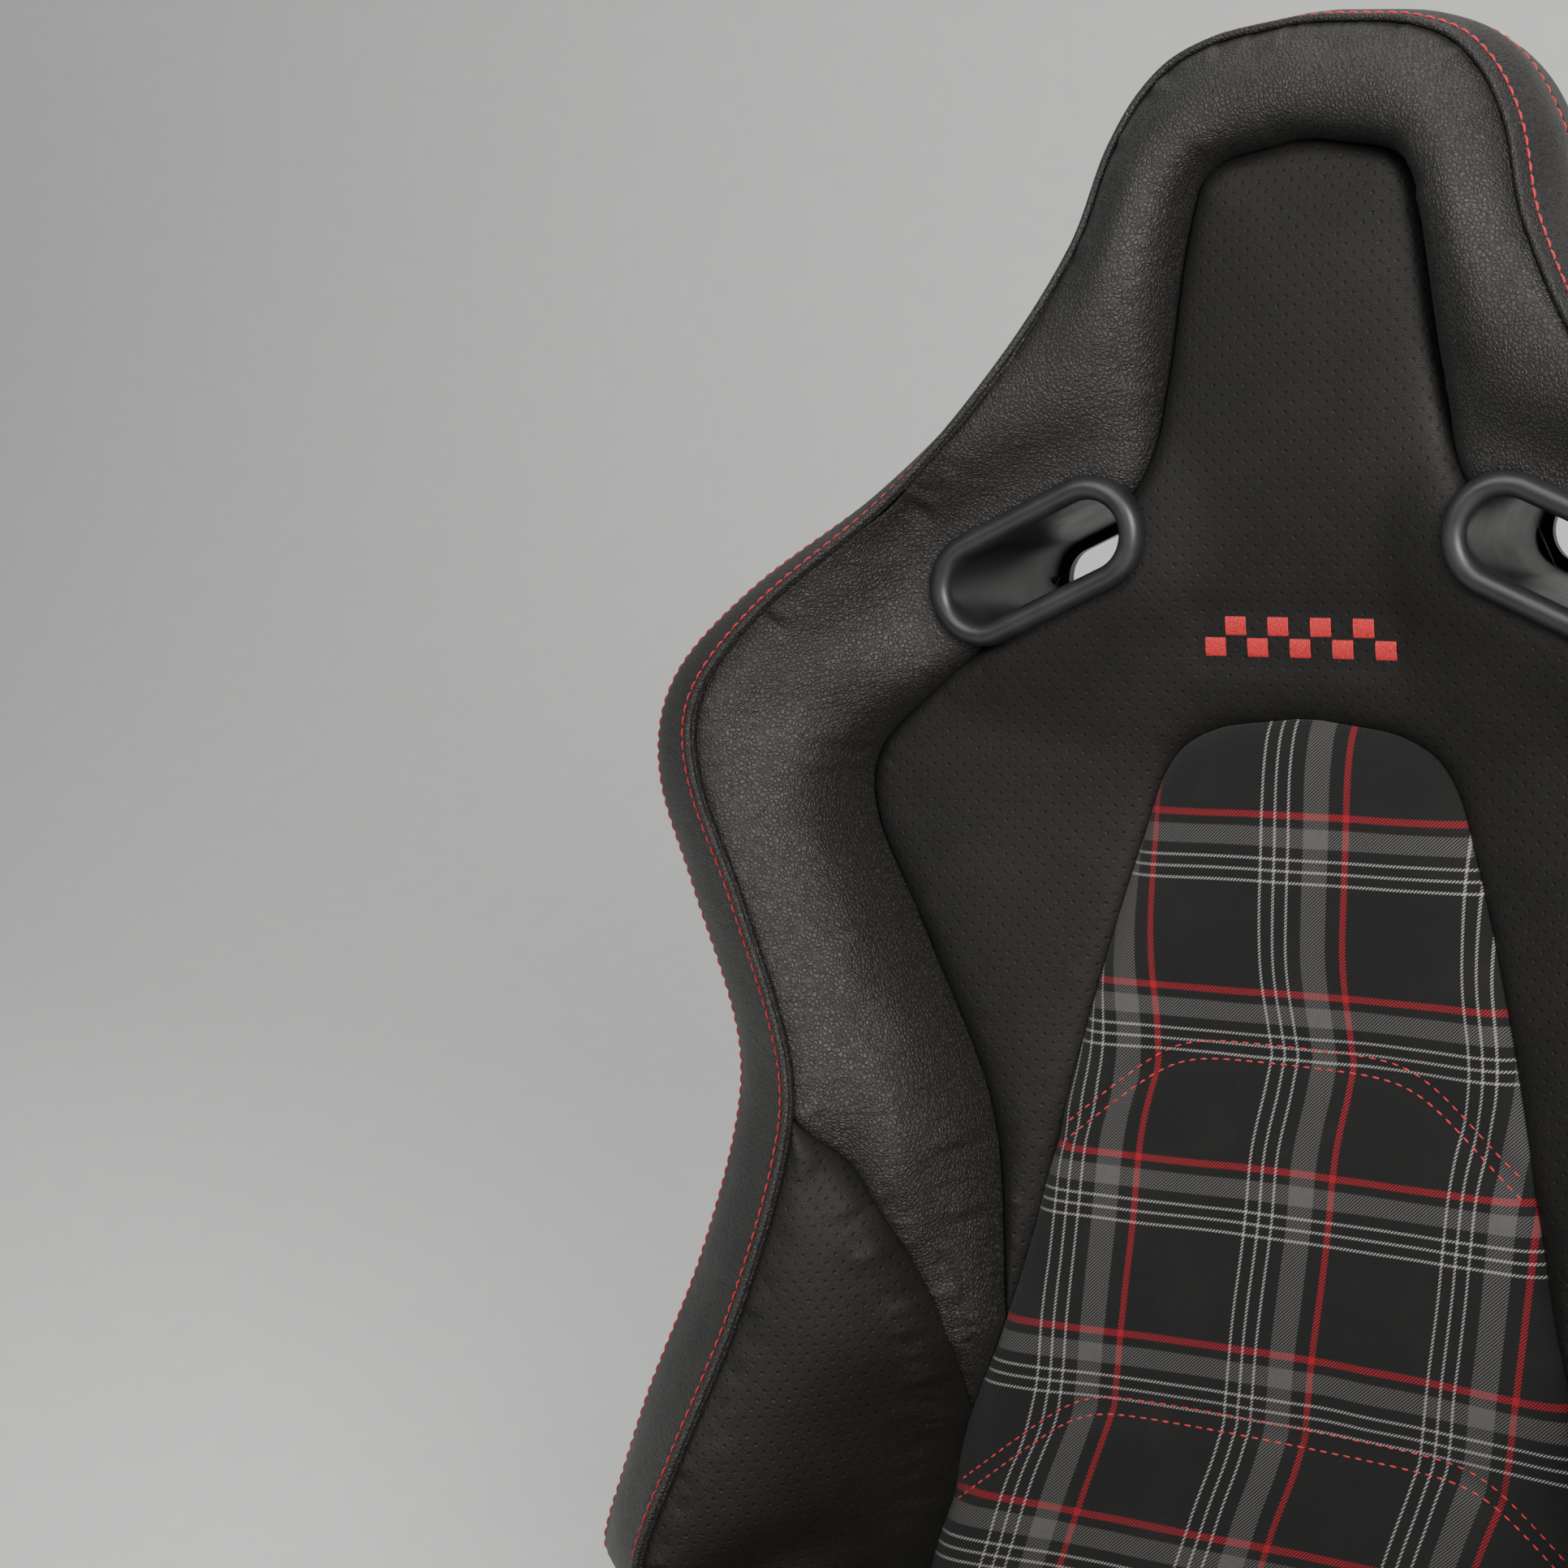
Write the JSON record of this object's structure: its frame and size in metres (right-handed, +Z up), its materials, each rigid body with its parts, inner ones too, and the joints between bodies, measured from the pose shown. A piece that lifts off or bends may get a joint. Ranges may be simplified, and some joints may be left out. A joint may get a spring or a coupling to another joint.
{
  "type": "reclining racing seat",
  "caption": "High-back reclining racing seat with side wings, fixed headrest, harness slots, plaid cloth insert, dual recline levers and slide rails.",
  "frame": {"origin": "middle of the four floor bolt holes, in the plane of the rails' underside", "axes": "the sitter faces -Y, +X is across the seat to the sitter's left, +Z is up"},
  "size_m": [0.644, 0.6927, 0.9277],
  "materials": {
    "smooth_leather": "pebbled black leatherette, satin",
    "perforated_leather": "perforated black leatherette, satin",
    "plaid_cloth": "woven twill plaid, charcoal with grey, white and red lines",
    "red_thread": "twisted polyester thread",
    "black_plastic": "moulded black plastic, fine texture",
    "black_steel": "black powder coat",
    "zinc_steel": "zinc plated"
  },
  "bodies": {
    "rails": {"lower_rail_left": "zinc_steel", "lower_rail_right": "zinc_steel"},
    "roller_cages": {"rollers_left": "zinc_steel", "rollers_right": "zinc_steel"},
    "seat": {"upper_rail_left": "zinc_steel", "upper_rail_right": "zinc_steel", "side_plate_left": "black_steel", "side_plate_right": "black_steel", "front_cross_tube": "black_steel", "rear_cross_tube": "black_steel", "seat_pan": "black_steel", "frame_bolts": "zinc_steel", "recliner_housing_left": "zinc_steel", "recliner_housing_right": "zinc_steel", "return_spring_left": "zinc_steel", "return_spring_right": "zinc_steel", "recliner_cover_left": "black_plastic", "recliner_cover_right": "black_plastic", "cushion_insert": "plaid_cloth", "cushion_front": "perforated_leather", "cushion_bolster_left": "smooth_leather", "cushion_bolster_right": "smooth_leather", "cushion_piping": "smooth_leather"},
    "slide_release": {"slide_bar": "black_steel", "slide_latch_left": "zinc_steel", "slide_latch_right": "zinc_steel"},
    "recline_release": {"release_shaft": "zinc_steel", "release_cam_left": "zinc_steel", "release_cam_right": "zinc_steel", "recline_lever_left": "black_plastic", "recline_lever_right": "black_plastic"},
    "backrest": {"recliner_disc_left": "zinc_steel", "recliner_disc_right": "zinc_steel", "recliner_arm_left": "black_steel", "recliner_arm_right": "black_steel", "back_hoop": "black_steel", "head_hoop": "black_steel", "lumbar_springs": "zinc_steel", "arm_bolts": "zinc_steel", "headrest_surround": "smooth_leather", "shoulder_bolster_left": "smooth_leather", "shoulder_bolster_right": "smooth_leather", "centre_pad": "perforated_leather", "lumbar_insert": "plaid_cloth", "lower_bolster_left": "perforated_leather", "lower_bolster_right": "perforated_leather", "gusset_left": "smooth_leather", "gusset_right": "smooth_leather", "front_piping": "smooth_leather", "rear_shell": "smooth_leather", "slot_tunnel_left": "black_plastic", "slot_tunnel_right": "black_plastic", "slot_trim_left": "black_plastic", "slot_trim_right": "black_plastic", "rear_trim_left": "black_plastic", "rear_trim_right": "black_plastic"}
  },
  "joints": [
    {"name": "seat_slide", "type": "slide", "parent": "rails", "child": "seat", "axis": [0, 1, 0], "range_m": [-0.09, 0.09]},
    {"name": "roller_travel", "type": "slide", "parent": "rails", "child": "roller_cages", "axis": [0, 1, 0], "range_m": [-0.045, 0.045]},
    {"name": "slide_bar_lift", "type": "hinge", "parent": "seat", "child": "slide_release", "pos_m": [0, -0.06, 0.05], "axis": [-1, 0, 0], "range_deg": [0, 6], "stiffness_Nm_per_rad": 12, "springref_deg": -8.59},
    {"name": "back_recline", "type": "hinge", "parent": "seat", "child": "backrest", "pos_m": [0, 0.215, 0.172], "axis": [1, 0, 0], "range_deg": [-50, 8]},
    {"name": "recline_lever_lift", "type": "hinge", "parent": "seat", "child": "recline_release", "pos_m": [0, 0.215, 0.172], "axis": [-1, 0, 0], "range_deg": [0, 25], "stiffness_Nm_per_rad": 3, "springref_deg": -14.32}
  ],
  "couplings": [
    {"joint": "roller_travel", "follows": "seat_slide", "ratio": 0.5}
  ]
}
